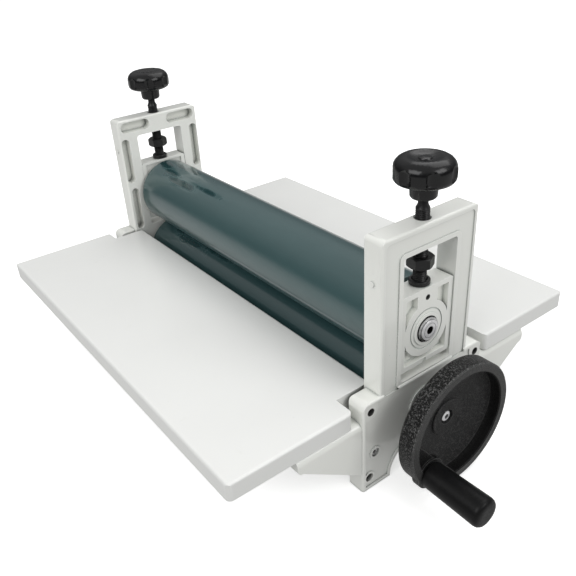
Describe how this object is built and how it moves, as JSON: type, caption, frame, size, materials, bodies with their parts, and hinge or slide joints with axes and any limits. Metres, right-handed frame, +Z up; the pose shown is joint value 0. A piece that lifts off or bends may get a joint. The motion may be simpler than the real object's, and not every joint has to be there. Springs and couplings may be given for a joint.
{
  "type": "tabletop cold roll laminator",
  "caption": "Tabletop cold roll laminator with two rubber rollers between cast end frames, pressure knobs, a dished handwheel and fold-up feed tables.",
  "frame": {"origin": "on the ground plane, under the middle of the whole outline; the end frames stand 185 mm each side of X = -38.55 mm, and the rollers lie over Y = 0", "axes": "+X along the rollers towards the handwheel, +Z up, -Y the side whose lifted table stands at the user's front"},
  "size_m": [0.5044, 0.3532, 0.2477],
  "materials": {
    "cast_paint": "semi-gloss off-white enamel",
    "table_paint": "smooth satin off-white powder coat",
    "ground_steel": "turned and ground",
    "zinc_steel": "zinc plated",
    "core_steel": "turned",
    "black_screw": "black oxide",
    "bearing_black": "smooth bearing polymer",
    "roller_rubber": "dark green rubber under a thin clear film",
    "wheel_black": "black hammertone",
    "grip_black": "moulded satin",
    "knob_black": "moulded, slightly glossy",
    "bright_steel": "bright"
  },
  "bodies": {
    "frame": {"end_frame_right": "cast_paint", "end_frame_left": "cast_paint", "front_tie_rod": "core_steel", "rear_tie_rod": "core_steel", "tie_rod_screws": "zinc_steel", "front_right_bracket": "cast_paint", "front_left_bracket": "cast_paint", "rear_right_bracket": "cast_paint", "rear_left_bracket": "cast_paint", "bracket_screws": "zinc_steel", "hinge_pins": "ground_steel", "lower_bearings": "bearing_black"},
    "front_table": {"front_table": "table_paint"},
    "rear_table": {"rear_table": "table_paint"},
    "lower_roller": {"lower_shaft": "ground_steel", "lower_core": "core_steel", "lower_sleeve": "roller_rubber", "lower_retaining_ring": "zinc_steel", "handwheel": "wheel_black", "wheel_key": "ground_steel", "wheel_screw": "bright_steel", "grip_pin": "zinc_steel"},
    "grip": {"grip": "grip_black"},
    "carriage": {"bearing_block_right": "cast_paint", "bearing_block_left": "cast_paint", "block_bushings": "bearing_black", "block_grub_screws": "black_screw"},
    "upper_roller": {"upper_shaft": "ground_steel", "upper_core": "core_steel", "upper_sleeve": "roller_rubber", "upper_retaining_rings": "zinc_steel"},
    "right_screw": {"pressure_screw_right": "black_screw", "screw_foot_right": "black_screw", "jam_nut_right": "black_screw", "knob_right": "knob_black"},
    "left_screw": {"pressure_screw_left": "black_screw", "screw_foot_left": "black_screw", "jam_nut_left": "black_screw", "knob_left": "knob_black"}
  },
  "joints": [
    {"name": "front_table_fold", "type": "hinge", "parent": "frame", "child": "front_table", "pos_m": [-0.03855, -0.0563, 0.0748], "axis": [-1, 0, 0], "range_deg": [0, 90]},
    {"name": "rear_table_fold", "type": "hinge", "parent": "frame", "child": "rear_table", "pos_m": [-0.03855, 0.0563, 0.0748], "axis": [1, 0, 0], "range_deg": [0, 90]},
    {"name": "handwheel_turn", "type": "hinge", "parent": "frame", "child": "lower_roller", "pos_m": [-0.03855, 0, 0.0536], "axis": [1, 0, 0], "continuous": true},
    {"name": "grip_spin", "type": "hinge", "parent": "lower_roller", "child": "grip", "pos_m": [0.22695, -0.03141, 0.02725], "axis": [1, 0, 0], "continuous": true},
    {"name": "right_knob_turn", "type": "hinge", "parent": "carriage", "child": "right_screw", "pos_m": [0.15425, 0, 0.2], "axis": [0, 0, 1], "range_deg": [0, 2160]},
    {"name": "left_knob_turn", "type": "hinge", "parent": "carriage", "child": "left_screw", "pos_m": [-0.23135, 0, 0.2], "axis": [0, 0, 1], "range_deg": [0, 2160]},
    {"name": "carriage_lift", "type": "slide", "parent": "frame", "child": "carriage", "axis": [0, 0, 1], "range_m": [0, 0.009]},
    {"name": "upper_roller_turn", "type": "hinge", "parent": "carriage", "child": "upper_roller", "pos_m": [-0.03855, 0, 0.1203], "axis": [1, 0, 0], "continuous": true}
  ],
  "couplings": [
    {"joint": "carriage_lift", "follows": "right_knob_turn", "m_per_rad": 0.00023873},
    {"joint": "left_knob_turn", "follows": "right_knob_turn", "ratio": 1},
    {"joint": "upper_roller_turn", "follows": "handwheel_turn", "ratio": -1}
  ]
}
